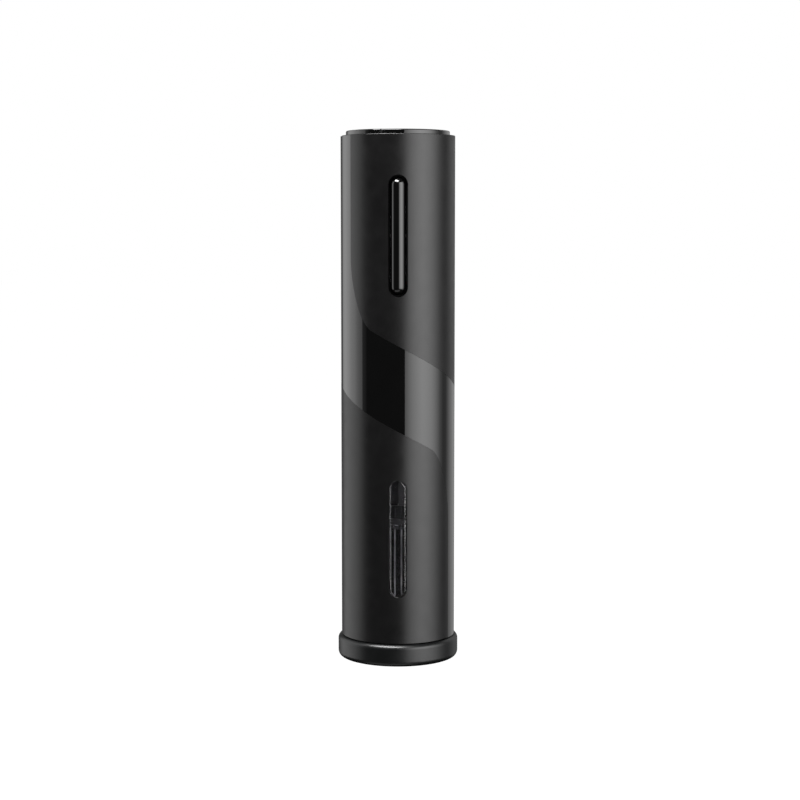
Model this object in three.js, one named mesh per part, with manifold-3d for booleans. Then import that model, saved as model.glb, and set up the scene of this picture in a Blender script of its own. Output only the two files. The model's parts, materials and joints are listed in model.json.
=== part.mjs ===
// Electric wine opener, battery powered, standing upright on its foil cutter.
// Millimetres, +Z up. The origin is the centre of the base, and the rocker switch faces -Y.
import * as THREE from 'three';
import { mergeVertices } from 'three/addons/utils/BufferGeometryUtils.js';
import Module from 'manifold-3d';

const wasm = await Module();
wasm.setup();

// ---- Driving dimensions ----
const GAP = 0.3;
const ROUND = 48;
const MEDIUM = 36;
const FINE = 24;
const SMALL = 12;

const tube = { radius: 25, inner: 23.2, bottom: 9.9, top: 229.5, chamfer: 0.3 };
const ring = { radius: 26.56, height: 9.6, bore: 15.5, floor: 3, pocket: 23.3, fillet: 2.35, shoulder: 1.6 };
const plug = { inner: 20.6, outer: 22.6, top: 15.9, discBottom: 7.2, discTop: 9.6, edge: 0.6 };
const wheel = { radius: 4.5, orbit: 18.5, z: 5.1, thickness: 0.8 };
const axle = { radius: 0.9, bottom: 1.8, top: 8.4, socket: 1.2 };
const inlay = { inner: 24.5, recess: 24.2, inset: 0.3 };
const lensSlot = { width: 7.6, bottom: 30.2, top: 81.3 };
const rockerSlot = { width: 8, bottom: 160.3, top: 212.1 };
const rocker = { width: 6.3, length: 49.6, crown: -26.4, back: -21.2 };
const pivot = { y: -19.2, z: 186.2, pinRadius: 0.8 };
const rockerLeg = { offset: 17, end: -18.4, halfWidth: 1.8, halfHeight: 1.5 };
const switchFrame = { inner: 21.2, outer: 22.8, width: 12, half: 27.6, mouthHalf: 25.3 };
const cheek = { near: 3.3, far: 5, front: -22, back: -17.5, half: 3 };
const guide = { inner: 15.6, outer: 17.2, rim: 22.8, mouth: 19.4, bottom: 16.5, top: 61.7, flange: 1.7 };
const rail = { x: 1.45, width: 0.7, inner: -16.6, front: -22.6, bottom: 31, top: 61 };
const chamber = { inner: 12.6, outer: 14.6, bottom: 62, flangeTop: 64.3, top: 111.5 };
const spiral = { coil: 3.2, wire: 1.5, pitch: 9.6, bottom: 21.5, top: 103, steps: 80 };
const hub = { radius: 6.3, bottom: 101.4, top: 110.4, bore: 3.3, shaftEnd: 105.6 };
const bearing = { bottom: 111.9, top: 114.6, bore: 5.9 };
const bushing = { inner: 4.15, outer: 5.6, flange: 7, bottom: 110.8, flangeTop: 111.6 };
const gears = { module: 0.68, sunTeeth: 10, planetTeeth: 20, ringTeeth: 50 };
const gearbox = { radius: 21, bottom: 114.9, top: 132.3, plateTop: 134.8, plateBottom: 132.6 };
const stage1 = { bottom: 126.3, top: 131.5, plateBottom: 123.9, plateTop: 125.7 };
const stage2 = { bottom: 117.7, top: 123.1, plateBottom: 115.2, plateTop: 117.3 };
const carrier = { radius: 13.4, pin: 1.4, bore: 1.65 };
const motor = { radius: 12.2, inner: 11.3, bottom: 135.1, top: 163, capTop: 165.9, terminalX: 7 };
const rotor = { core: 5, tip: 9.3, slotHalf: 0.22, bottom: 141, top: 157, commutatorTop: 162 };
const motorShaft = { radius: 1.15, bottom: 126.1, top: 165.4 };
const chassis = { inner: 21.4, outer: 22.8, bottom: 70.4, top: 157 };
const chassisWebs = { shelf: 111, shelfInner: 15.2, topInner: 12.6, thickness: 2 };
const box = { radius: 22.6, front: -13, bottom: 168.5, top: 216.5, floor: 1.1, well: 7.5 };
const cell = { radius: 7.15, nub: 2.7, pitch: 7.65, centreY: 3, bottom: 171.8, top: 221.2, nubHeight: 1.3 };
const collar = { inner: 21.5, outer: 22.85, top: 228.3, grooveRadius: 22.4 };
const strip = { thickness: 0.35, half: 3.6, bottom: 169.9, lidBottom: 223.35 };
const lid = { radius: 22.67, top: 231.55, underside: 228.75, inside: 229.4, edge: 0.6, tickAngle: -0.33 };
const skirt = { inner: 20.3, outer: 21.2, bottom: 223.9 };
const stud = { tip: 1.3, head: 2, neck: 1.1, foot: 2.8, bottom: 222.8, headTop: 223.6, neckTop: 225.5 };
const thread = { lead: 24, z: 225, lugHeight: 1.6, grooveHeight: 2.3, lugRadius: 22.1, starts: 3, entry: 84 };
const contactPlate = { radius: 19.9, bottom: 224, top: 225.2 };
const board = { width: 10, y: -14.9, thickness: 1.2, bottom: 167, top: 206.5 };
const pad = { halfWidth: 4, front: -15.8, half: 19.5, domeFront: 2.6, domeBack: 1.7, domeY: -16.8 };

const pitchRadius = (teeth) => (teeth * gears.module) / 2;
const planetOrbit = pitchRadius(gears.sunTeeth) + pitchRadius(gears.planetTeeth);

// ---- Solids ----
function solid(geometry) {
  const bare = geometry.clone();
  bare.deleteAttribute('normal');
  bare.deleteAttribute('uv');
  const merged = mergeVertices(bare, 1e-4);
  const position = merged.attributes.position;
  const corners = [];
  const [a, b, c] = [new THREE.Vector3(), new THREE.Vector3(), new THREE.Vector3()];
  let volume = 0;
  for (let i = 0; i < merged.index.count; i += 3) {
    const triangle = [0, 1, 2].map((k) => merged.index.getX(i + k));
    if (new Set(triangle).size < 3) continue;
    corners.push(triangle);
    [a, b, c].forEach((point, k) => point.fromBufferAttribute(position, triangle[k]));
    volume += a.dot(b.cross(c));
  }
  if (volume < 0) corners.forEach((triangle) => triangle.reverse());
  return new wasm.Manifold(new wasm.Mesh({
    numProp: 3,
    vertProperties: new Float32Array(position.array),
    triVerts: new Uint32Array(corners.flat()),
  }));
}

function geometryOf(manifold) {
  const mesh = manifold.getMesh();
  const geometry = new THREE.BufferGeometry();
  geometry.setAttribute('position', new THREE.BufferAttribute(new Float32Array(mesh.vertProperties), 3));
  geometry.setIndex(new THREE.BufferAttribute(new Uint32Array(mesh.triVerts), 1));
  const flat = geometry.toNonIndexed();
  flat.computeVertexNormals();
  return flat;
}

function turned(profile, segments = FINE) {
  const points = profile.map(([radius, z]) => new THREE.Vector2(radius, z));
  if (profile[0][0] > 0) points.push(points[0].clone());
  return solid(new THREE.LatheGeometry(points, segments).rotateX(Math.PI / 2));
}

function sleeve(inner, outer, bottom, top, segments = FINE) {
  return turned([[inner, bottom], [outer, bottom], [outer, top], [inner, top]], segments);
}

function disc(radius, bottom, top, segments = FINE) {
  const geometry = new THREE.CylinderGeometry(radius, radius, top - bottom, segments);
  return solid(geometry.rotateX(Math.PI / 2).translate(0, 0, (bottom + top) / 2));
}

function rod(radius, from, to, segments = SMALL) {
  const start = new THREE.Vector3(...from);
  const along = new THREE.Vector3(...to).sub(start);
  const geometry = new THREE.CylinderGeometry(radius, radius, along.length(), segments);
  const up = new THREE.Vector3(0, 1, 0);
  const turn = new THREE.Quaternion().setFromUnitVectors(up, along.clone().normalize());
  const middle = start.addScaledVector(along, 0.5);
  return solid(geometry.applyQuaternion(turn).translate(middle.x, middle.y, middle.z));
}

function block([x0, y0, z0], [x1, y1, z1]) {
  const geometry = new THREE.BoxGeometry(x1 - x0, y1 - y0, z1 - z0);
  return solid(geometry.translate((x0 + x1) / 2, (y0 + y1) / 2, (z0 + z1) / 2));
}

function plate(shape, bottom, top, curveSegments = 12) {
  const options = { depth: top - bottom, bevelEnabled: false, curveSegments };
  return solid(new THREE.ExtrudeGeometry(shape, options).translate(0, 0, bottom));
}

function frontPlate(shape, yFront, yBack, curveSegments = 5) {
  const options = { depth: yBack - yFront, bevelEnabled: false, curveSegments };
  return solid(new THREE.ExtrudeGeometry(shape, options).rotateX(Math.PI / 2).translate(0, yBack, 0));
}

function obround(width, bottom, top) {
  const radius = width / 2;
  const shape = new THREE.Shape();
  shape.absarc(0, top - radius, radius, 0, Math.PI, false);
  shape.absarc(0, bottom + radius, radius, Math.PI, 2 * Math.PI, false);
  shape.closePath();
  return shape;
}

function warpedBox(steps, place) {
  const geometry = new THREE.BoxGeometry(1, 1, 1, steps, 1, 1);
  const position = geometry.attributes.position;
  for (let i = 0; i < position.count; i += 1) {
    const point = place(position.getX(i) + 0.5, position.getY(i) + 0.5, position.getZ(i) + 0.5);
    position.setXYZ(i, ...point);
  }
  return solid(geometry);
}

function around(count, make) {
  return Array.from({ length: count }, (_, i) => make((i * 2 * Math.PI) / count, i));
}

function joined(parts) {
  return parts.reduce((sum, part) => sum.add(part));
}

function without(body, cutters) {
  return cutters.reduce((rest, cutter) => rest.subtract(cutter), body);
}

function polar(radius, angle, z) {
  return [radius * Math.cos(angle), radius * Math.sin(angle), z];
}

function onTube(radius, arc, z) {
  const angle = arc / tube.radius;
  return [radius * Math.sin(angle), -radius * Math.cos(angle), z];
}

// ---- Gloss ribbon: two vertical arms joined by a slope across the front ----
const slope = new THREE.Vector2(1, -0.525).normalize();
const down = new THREE.Vector2(0, -1);
const bend = { alongSlope: 12.9, alongArm: 25, handle: 0.45 };
const innerTop = new THREE.Vector2(-23.7, 151.9);
const outerTop = new THREE.Vector2(-56, 132.2);
const innerBottom = new THREE.Vector2(26.7, 88.3);
const outerBottom = new THREE.Vector2(59, 108);

function bendBetween(corner, fromArm) {
  const armEnd = corner.clone().addScaledVector(down, fromArm ? -bend.alongArm : bend.alongArm);
  const slopeEnd = corner.clone().addScaledVector(slope, fromArm ? bend.alongSlope : -bend.alongSlope);
  const armHandle = armEnd.clone().lerp(corner, bend.handle);
  const slopeHandle = slopeEnd.clone().lerp(corner, bend.handle);
  return fromArm
    ? new THREE.CubicBezierCurve(armEnd, armHandle, slopeHandle, slopeEnd)
    : new THREE.CubicBezierCurve(slopeEnd, slopeHandle, armHandle, armEnd);
}

function ribbonEdge(topCorner, bottomCorner) {
  const topBend = bendBetween(topCorner, true);
  const bottomBend = bendBetween(bottomCorner, false);
  const topEnd = new THREE.Vector2(topCorner.x, tube.top + 2);
  const bottomEnd = new THREE.Vector2(bottomCorner.x, tube.bottom - 2);
  return [
    new THREE.LineCurve(topEnd, topBend.v0),
    topBend,
    new THREE.LineCurve(topBend.v3, bottomBend.v0),
    bottomBend,
    new THREE.LineCurve(bottomBend.v3, bottomEnd),
  ];
}

function edgePoint(edge, u) {
  const piece = Math.min(edge.length - 1, Math.floor(u * edge.length));
  return edge[piece].getPoint(u * edge.length - piece);
}

function ribbonCutter(inset) {
  const upper = ribbonEdge(innerTop, outerBottom);
  const lower = ribbonEdge(outerTop, innerBottom);
  const [inner, outer] = [20, 70];
  return warpedBox(30, (u, v, w) => {
    const from = edgePoint(lower, u);
    const to = edgePoint(upper, u);
    const across = inset / from.distanceTo(to);
    const point = from.lerp(to, THREE.MathUtils.lerp(across, 1 - across, v));
    return onTube(THREE.MathUtils.lerp(inner, outer, w), point.x, point.y);
  });
}

// ---- Outer casing ----
function tubeShell() {
  const bevel = tube.chamfer;
  const wall = turned([
    [tube.inner, tube.bottom],
    [tube.radius, tube.bottom],
    [tube.radius, tube.top - bevel],
    [tube.radius - bevel, tube.top],
    [tube.inner, tube.top],
  ], ROUND);
  const skin = sleeve(inlay.recess, tube.radius + 1, tube.bottom - 1, tube.top + 1, ROUND);
  return without(wall, [
    skin.intersect(ribbonCutter(0)),
    frontPlate(obround(lensSlot.width, lensSlot.bottom, lensSlot.top), -30, -15),
    frontPlate(obround(rockerSlot.width, rockerSlot.bottom, rockerSlot.top), -30, -15),
  ]);
}

function glossBand() {
  const skin = sleeve(inlay.inner, tube.radius, tube.bottom + 0.1, tube.top - tube.chamfer, ROUND);
  return skin.intersect(ribbonCutter(inlay.inset));
}

function windowLens() {
  const outline = obround(lensSlot.width - 2 * GAP, lensSlot.bottom + GAP, lensSlot.top - GAP);
  const skin = sleeve(tube.inner, tube.radius, lensSlot.bottom - 5, lensSlot.top + 5, ROUND);
  return frontPlate(outline, -30, -15).intersect(skin);
}

// ---- Rocker switch ----
const pivotPoint = (x) => [x, pivot.y, pivot.z];

function switchBezel() {
  const middle = pivot.z;
  const { inner, outer, width, half, mouthHalf } = switchFrame;
  const outline = obround(width, middle - half, middle + half);
  const mouth = obround(rocker.width + 2 * GAP, middle - mouthHalf, middle + mouthHalf);
  const pinCheek = (side) => {
    const [x0, x1] = side > 0 ? [cheek.near, cheek.far] : [-cheek.far, -cheek.near];
    return block([x0, cheek.front, middle - cheek.half], [x1, cheek.back, middle + cheek.half]);
  };
  const frame = joined([
    frontPlate(outline, -30, -15).intersect(sleeve(inner, outer, middle - 30, middle + 30, ROUND)),
    pinCheek(1),
    pinCheek(-1),
  ]);
  return without(frame, [
    frontPlate(mouth, -30, -20.5),
    rod(pivot.pinRadius + GAP, pivotPoint(-6), pivotPoint(6)),
  ]);
}

function rockerCap() {
  const { width, length, crown, back } = rocker;
  const radius = width / 2;
  const middleY = crown + radius;
  const [bottom, top] = [pivot.z - length / 2, pivot.z + length / 2];
  const dome = new THREE.CapsuleGeometry(radius, length - width, 5, 20);
  dome.rotateX(Math.PI / 2).translate(0, middleY, pivot.z);
  const wall = frontPlate(obround(width, bottom, top), middleY, back);
  const frontHalf = block([-radius, crown, bottom], [radius, middleY + 0.1, top]);
  return solid(dome).intersect(frontHalf).add(wall);
}

function rockerButton() {
  const middle = pivot.z;
  const inside = rocker.back - 0.2;
  const { offset, end, halfWidth, halfHeight } = rockerLeg;
  const web = block([-2.4, inside, middle - 3], [2.4, pivot.y + 1.6, middle + 3]);
  const leg = (z) => block([-halfWidth, inside, z - halfHeight], [halfWidth, end, z + halfHeight]);
  const body = joined([rockerCap(), web, leg(middle - offset), leg(middle + offset)]);
  return body.subtract(rod(pivot.pinRadius + GAP / 2, pivotPoint(-6), pivotPoint(6)));
}

function rockerPin() {
  return rod(pivot.pinRadius, pivotPoint(-5), pivotPoint(5));
}

function switchPad() {
  const middle = pivot.z;
  const { halfWidth, front, half, domeFront, domeBack, domeY } = pad;
  const sheet = block([-halfWidth, front, middle - half], [halfWidth, board.y - GAP, middle + half]);
  const window = block([-3, front - 1, middle - 9], [3, board.y + 1, middle + 9]);
  const dome = (z) => {
    const geometry = new THREE.CylinderGeometry(domeFront, domeBack, 2.6, SMALL);
    return solid(geometry.translate(0, domeY, z));
  };
  const domes = [-1, 1].map((side) => dome(middle + side * rockerLeg.offset));
  return joined([sheet, ...domes]).subtract(window);
}

function circuitBoard() {
  const half = board.width / 2;
  const base = block([-half, board.y, board.bottom], [half, board.y + board.thickness, board.top]);
  const chip = block([-2.5, board.y - 1.5, board.bottom + 13], [2.5, board.y + 0.2, board.bottom + 17]);
  return base.add(chip);
}

// ---- Bottle end: neck guide, cork chamber and spiral ----
function neckGuide() {
  const { inner, outer, rim, mouth, bottom, top, flange } = guide;
  const wall = turned([
    [mouth, bottom],
    [rim, bottom],
    [rim, bottom + flange],
    [mouth + 0.8, bottom + flange],
    [outer, bottom + 8],
    [outer, top - flange],
    [rim, top - flange],
    [rim, top],
    [inner, top],
    [inner, bottom + 8.6],
  ]);
  const rib = (angle) => {
    const bar = new THREE.BoxGeometry(1.6, 1.2, top - bottom - 11);
    bar.translate(inner - 0.1, 0, (top + bottom + 9) / 2).rotateZ(angle + Math.PI / 6);
    return solid(bar);
  };
  const windowRail = (side) => {
    const x = side * rail.x;
    return block([x - rail.width / 2, rail.front, rail.bottom], [x + rail.width / 2, rail.inner, rail.top]);
  };
  return joined([wall, ...around(6, rib), windowRail(-1), windowRail(1)]);
}

function corkChamber() {
  const { inner, outer, bottom, flangeTop, top } = chamber;
  const wall = turned([
    [inner, bottom],
    [guide.rim, bottom],
    [guide.rim, flangeTop],
    [outer, flangeTop],
    [outer, top],
    [inner, top],
  ]);
  const rib = (angle) => {
    const bar = new THREE.BoxGeometry(1.2, 1, top - bottom - 14);
    return solid(bar.translate(inner - 0.2, 0, (top + bottom) / 2 - 5).rotateZ(angle + Math.PI / 4));
  };
  const windowPad = block([-2.6, -22.4, flangeTop - 0.5], [2.6, 0.5 - outer, chassis.bottom - GAP]);
  return joined([wall, ...around(4, rib), windowPad]);
}

class Helix extends THREE.Curve {
  constructor(radius, pitch, bottom, top, start = 0) {
    super();
    Object.assign(this, { radius, pitch, bottom, top, start });
  }

  getPoint(t, target = new THREE.Vector3()) {
    const z = THREE.MathUtils.lerp(this.bottom, this.top, t);
    const angle = this.start + ((z - this.bottom) * 2 * Math.PI) / this.pitch;
    return target.set(...polar(this.radius, angle, z));
  }
}

function circle(radius) {
  return new THREE.Shape().absarc(0, 0, radius, 0, 2 * Math.PI);
}

function wireAlong(path, radius, steps, sides) {
  const options = { steps, extrudePath: path, curveSegments: sides / 2, bevelEnabled: false };
  return solid(new THREE.ExtrudeGeometry(circle(radius), options));
}

function spiralWire(radius, extraSteps = 0) {
  const { coil, pitch, bottom, top, steps } = spiral;
  const end = top + ((top - bottom) * extraSteps) / steps;
  return wireAlong(new Helix(coil, pitch, bottom, end), radius, steps + extraSteps, 6);
}

function wormSpiral() {
  const tip = new THREE.BoxGeometry(12, 12, 6).translate(0, 0, -3).rotateX(0.62).rotateZ(0.3);
  return spiralWire(spiral.wire).subtract(solid(tip.translate(spiral.coil, 1.5, spiral.bottom + 0.4)));
}

function wormHub() {
  const { radius, bottom, top, bore, shaftEnd } = hub;
  const edge = 0.8;
  const body = turned([
    [0, bottom],
    [radius - edge, bottom],
    [radius, bottom + edge],
    [radius, top],
    [bore, top],
    [bore, shaftEnd - GAP],
    [0, shaftEnd - GAP],
  ]);
  return body.subtract(spiralWire(spiral.wire + GAP, 1));
}

// ---- Gearbox ----
function gearOutline(teeth, tipOffset, rootOffset, phase, path = new THREE.Shape()) {
  const [tipHalf, rootHalf] = [0.11, 0.29];
  const tip = pitchRadius(teeth) + tipOffset;
  const root = pitchRadius(teeth) + rootOffset;
  const pitch = (2 * Math.PI) / teeth;
  const at = (radius, angle) => [radius * Math.cos(angle), radius * Math.sin(angle)];
  for (let i = 0; i < teeth; i += 1) {
    const middle = i * pitch + phase;
    const corners = [
      at(root, middle - rootHalf * pitch),
      at(tip, middle - tipHalf * pitch),
      at(tip, middle + tipHalf * pitch),
      at(root, middle + rootHalf * pitch),
    ];
    corners.forEach(([x, y], k) => (i + k === 0 ? path.moveTo(x, y) : path.lineTo(x, y)));
  }
  path.closePath();
  return path;
}

const addendum = 0.7 * gears.module;
const dedendum = gears.module;

function externalGear(teeth, phase, bottom, top) {
  return plate(gearOutline(teeth, addendum, -dedendum, phase), bottom, top);
}

function planetGear(stage, angle) {
  const [x, y] = polar(planetOrbit, angle, 0);
  const gear = externalGear(gears.planetTeeth, 0, stage.bottom, stage.top);
  return gear.subtract(disc(carrier.bore, stage.bottom - 1, stage.top + 1, SMALL)).translate([x, y, 0]);
}

function sunGear(bottom, top) {
  return externalGear(gears.sunTeeth, Math.PI / gears.sunTeeth, bottom, top);
}

const gearboxScrewAngle = (i) => Math.PI / 6 + (i * 2 * Math.PI) / 3;
const gearboxScrewOrbit = 19.3;
const gearboxScrewHole = 1.1;

function screwHoles(bottom, top) {
  return [0, 1, 2].map((i) => {
    const angle = gearboxScrewAngle(i);
    const from = polar(gearboxScrewOrbit, angle, bottom - 1);
    const to = polar(gearboxScrewOrbit, angle, top + 1);
    return rod(gearboxScrewHole, from, to, 8);
  });
}

function ringGear() {
  const shape = circle(gearbox.radius);
  const phase = Math.PI / gears.ringTeeth;
  const teeth = gearOutline(gears.ringTeeth, -addendum, dedendum, phase, new THREE.Path());
  shape.holes.push(teeth);
  const body = plate(shape, gearbox.bottom, gearbox.top, 24);
  return without(body, screwHoles(gearbox.bottom, gearbox.top));
}

function bearingPlate() {
  const body = sleeve(bearing.bore, gearbox.radius, bearing.bottom, bearing.top);
  return without(body, screwHoles(bearing.bottom, bearing.top));
}

function outputBushing() {
  const { inner, outer, flange, bottom, flangeTop } = bushing;
  return turned([
    [inner, bottom],
    [flange, bottom],
    [flange, flangeTop],
    [outer, flangeTop],
    [outer, bearing.top],
    [inner, bearing.top],
  ]);
}

function planetPins(bottom, top) {
  return around(3, (angle) => {
    const from = polar(planetOrbit, angle, bottom);
    return rod(carrier.pin, from, polar(planetOrbit, angle, top));
  });
}

function outputCarrier() {
  const [shaft, journal] = [hub.bore - GAP, bushing.inner - 0.15];
  const shoulder = hub.top + 0.15;
  const spindle = turned([
    [0, hub.shaftEnd],
    [shaft, hub.shaftEnd],
    [shaft, shoulder],
    [journal, shoulder],
    [journal, stage2.plateBottom],
    [carrier.radius, stage2.plateBottom],
    [carrier.radius, stage2.plateTop],
    [0, stage2.plateTop],
  ]);
  return joined([spindle, ...planetPins(stage2.plateTop - 1, stage2.top + 0.4)]);
}

function carrierOne() {
  return joined([
    disc(carrier.radius, stage1.plateBottom, stage1.plateTop),
    sunGear(stage2.bottom, stage1.plateBottom + 1),
    ...planetPins(stage1.plateTop - 1, stage1.top + 0.4),
  ]);
}

const motorScrewPlaces = [-8, 8];

function motorScrewHole(radius, x, top) {
  return rod(radius, [x, 0, gearbox.plateBottom - 1], [x, 0, top]);
}

function motorPlate() {
  const body = sleeve(5, gearbox.radius, gearbox.plateBottom, gearbox.plateTop);
  const motorHoles = motorScrewPlaces.flatMap((x) => [
    motorScrewHole(1.3, x, gearbox.plateTop + 1),
    motorScrewHole(2.4, x, gearbox.plateBottom + 1.3),
  ]);
  return without(body, [...screwHoles(gearbox.plateBottom, gearbox.plateTop), ...motorHoles]);
}

function screw(headRadius, headHeight, shankRadius, length) {
  return turned([
    [0, -length],
    [shankRadius, -length + 0.6],
    [shankRadius, 0],
    [headRadius, 0],
    [headRadius, headHeight * 0.6],
    [headRadius * 0.7, headHeight],
    [0, headHeight],
  ], 10);
}

function gearboxScrew(i) {
  const [x, y] = polar(gearboxScrewOrbit, gearboxScrewAngle(i), 0);
  return screw(1.6, 1.2, 0.8, 22.4).translate([x, y, gearbox.plateTop + GAP]);
}

function motorScrew(x) {
  return screw(2, 0.9, 1, 3).rotate([180, 0, 0]).translate([x, 0, gearbox.plateBottom + 1]);
}

// ---- Motor ----
function motorCan() {
  const { radius, inner, bottom, top } = motor;
  const shaftHole = 1.5;
  const body = turned([
    [shaftHole, bottom],
    [radius, bottom],
    [radius, top],
    [inner, top],
    [inner, bottom + 1],
    [shaftHole, bottom + 1],
  ]);
  return without(body, motorScrewPlaces.map((x) => motorScrewHole(1.3, x, bottom + 2)));
}

function motorEndCap() {
  const slot = (x) => block([x - 1.5, -0.8, motor.top - 1], [x + 1.5, 0.8, motor.capTop + 1]);
  const body = sleeve(1.5, motor.radius, motor.top + GAP, motor.capTop);
  return without(body, [slot(-motor.terminalX), slot(motor.terminalX)]);
}

function motorTerminal(side) {
  const x = side * motor.terminalX;
  return block([x - 1.1, -0.4, motor.top - 2], [x + 1.1, 0.4, motor.capTop + 1.8]);
}

function magnetRing() {
  return sleeve(rotor.tip + 0.5, motor.inner - GAP, rotor.bottom - 2, rotor.top + 2);
}

function armature() {
  const poles = new THREE.Shape();
  const { core, tip, slotHalf, bottom, top, commutatorTop } = rotor;
  const poleAngle = (2 * Math.PI) / 3;
  around(3, (angle, i) => {
    const [x, y] = polar(core, angle + slotHalf, 0);
    if (i === 0) poles.moveTo(x, y);
    else poles.lineTo(x, y);
    poles.absarc(0, 0, tip, angle + slotHalf * 0.6, angle + poleAngle - slotHalf * 0.6, false);
    poles.lineTo(...polar(core, angle + poleAngle - slotHalf, 0).slice(0, 2));
  });
  poles.closePath();
  return joined([
    plate(poles, bottom, top, 8),
    disc(2.6, top - 0.5, commutatorTop, SMALL),
    disc(motorShaft.radius, motorShaft.bottom, motorShaft.top, SMALL),
  ]);
}

function motorPinion() {
  const bore = disc(motorShaft.radius + 0.25, stage1.bottom - 1, stage1.top + 1, SMALL);
  return sunGear(stage1.bottom, stage1.top).subtract(bore);
}

// ---- Chassis ----
const chassisScrewZ = [79, 98];
const chassisScrewY = 18.3;

function chassisWhole() {
  const { inner, outer, bottom, top } = chassis;
  const { shelf, shelfInner, topInner, thickness } = chassisWebs;
  return turned([
    [inner, bottom],
    [outer, bottom],
    [outer, top],
    [topInner, top],
    [topInner, top - thickness],
    [inner, top - thickness],
    [inner, shelf],
    [shelfInner, shelf],
    [shelfInner, shelf - thickness],
    [inner, shelf - thickness],
  ]);
}

function chassisHalf(side) {
  const { outer, bottom, top } = chassis;
  const [near, far] = [side * GAP / 2, side * 30];
  const keep = block([Math.min(near, far), -30, bottom - 1], [Math.max(near, far), 30, top + 1]);
  const round = disc(outer - GAP, bottom, top);
  const boss = (z) => rod(2.6, [near, chassisScrewY, z], [side * 12.2, chassisScrewY, z]);
  const bosses = chassisScrewZ.map((z) => boss(z).intersect(round));
  const shell = joined([chassisWhole().intersect(keep), ...bosses]);
  const holes = chassisScrewZ.flatMap((z) => [
    rod(1.2, [-8, chassisScrewY, z], [14, chassisScrewY, z]),
    rod(2.3, [7, chassisScrewY, z], [20, chassisScrewY, z]),
  ]);
  const doorway = block([-5.5, -25, top - 7], [5.5, -12, top + 3]);
  return without(shell, [...holes, doorway]);
}

function chassisScrew(z) {
  return screw(1.9, 1.4, 0.85, 12).rotate([0, 90, 0]).translate([7 + GAP, chassisScrewY, z]);
}

// ---- Battery compartment ----
const cellPlaces = [
  { x: -cell.pitch, y: cell.centreY - cell.pitch, up: true },
  { x: -cell.pitch, y: cell.centreY + cell.pitch, up: false },
  { x: cell.pitch, y: cell.centreY + cell.pitch, up: true },
  { x: cell.pitch, y: cell.centreY - cell.pitch, up: false },
];
const keyX = 18.4;
const keyHalf = { x: 0.8, y: 1.8 };

function keyBlock(side, grow, bottom, top) {
  const x = side * keyX;
  return block(
    [x - keyHalf.x - grow, cell.centreY - keyHalf.y - grow, bottom],
    [x + keyHalf.x + grow, cell.centreY + keyHalf.y + grow, top],
  );
}

function threadGroove(start) {
  const half = thread.grooveHeight / 2;
  return warpedBox(12, (u, v, w) => {
    const turn = THREE.MathUtils.lerp(-5, thread.entry, u);
    const angle = start + THREE.MathUtils.degToRad(turn);
    const z = thread.z + (thread.lead * turn) / 360 + THREE.MathUtils.lerp(-half, half, v);
    return polar(THREE.MathUtils.lerp(collar.inner - 0.6, collar.grooveRadius, w), angle, z);
  });
}

function batteryBox() {
  const flat = Math.asin(box.front / box.radius);
  const outline = new THREE.Shape().absarc(0, 0, box.radius, flat, Math.PI - flat, false);
  outline.closePath();
  const body = joined([
    plate(outline, box.bottom, box.top, 14),
    disc(box.radius, box.top - 2, box.top, 48),
    sleeve(collar.inner, collar.outer, box.top - 2, collar.top, MEDIUM),
  ]);
  const floorTop = box.bottom + box.floor;
  const well = disc(box.well, floorTop, box.top + 1, 18);
  const wells = cellPlaces.map(({ x, y }) => well.translate([x, y, 0]));
  const keys = [-1, 1].map((side) => keyBlock(side, GAP + 0.05, 206, box.top + 1));
  const passage = block([-3, cell.centreY - 3, floorTop], [3, cell.centreY + 3, box.top + 1]);
  const bridgeY = cell.centreY + cell.pitch;
  const bridgeSlot = block([-cell.pitch, bridgeY - 3.4, floorTop], [cell.pitch, bridgeY + 3.4, floorTop + 1]);
  return without(body, [...wells, ...keys, passage, bridgeSlot, ...around(thread.starts, threadGroove)]);
}

function batteryCell({ x, y, up }) {
  const { radius, nub, bottom, top, nubHeight } = cell;
  const edge = 0.6;
  const upright = turned([
    [0, bottom],
    [radius - edge, bottom],
    [radius, bottom + edge],
    [radius, top - edge],
    [radius - edge, top],
    [nub, top],
    [nub, top + nubHeight],
    [0, top + nubHeight],
  ], 16);
  const placed = up ? upright : upright.rotate([180, 0, 0]).translate([0, 0, bottom + top]);
  return placed.translate([x, y, 0]);
}

function contactSpring(z0, z1) {
  return wireAlong(new Helix(3, 0.85, z0, z1), 0.28, 14, 4);
}

function bottomContact(x, withSpring) {
  const y = cell.centreY - cell.pitch;
  const { thickness, half, bottom } = strip;
  const body = block([x - half, y - 4.5, bottom], [x + half, y + 4.5, bottom + thickness]);
  if (!withSpring) return body;
  const top = bottom + thickness;
  return body.add(contactSpring(top + 0.1, top + 1).translate([x, y, 0]));
}

function bottomBridge() {
  const y = cell.centreY + cell.pitch;
  const { thickness, half, bottom } = strip;
  const top = bottom + thickness;
  const body = block([-cell.pitch - half, y - 3, bottom], [cell.pitch + half, y + 3, top]);
  return body.add(contactSpring(top + 0.1, top + 1).translate([cell.pitch, y, 0]));
}

function topBridge(x, springY) {
  const half = cell.pitch + strip.half;
  const bottom = strip.lidBottom;
  const top = bottom + strip.thickness;
  const body = block([x - 3.2, cell.centreY - half, bottom], [x + 3.2, cell.centreY + half, top]);
  return body.add(contactSpring(bottom - 1.45, bottom - 0.1).translate([x, springY, 0]));
}

function lidContactPlate() {
  const body = sleeve(1.4, contactPlate.radius, contactPlate.bottom, contactPlate.top, MEDIUM);
  return joined([body, ...[-1, 1].map((side) => keyBlock(side, 0, 209, contactPlate.bottom + 0.5))]);
}

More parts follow.
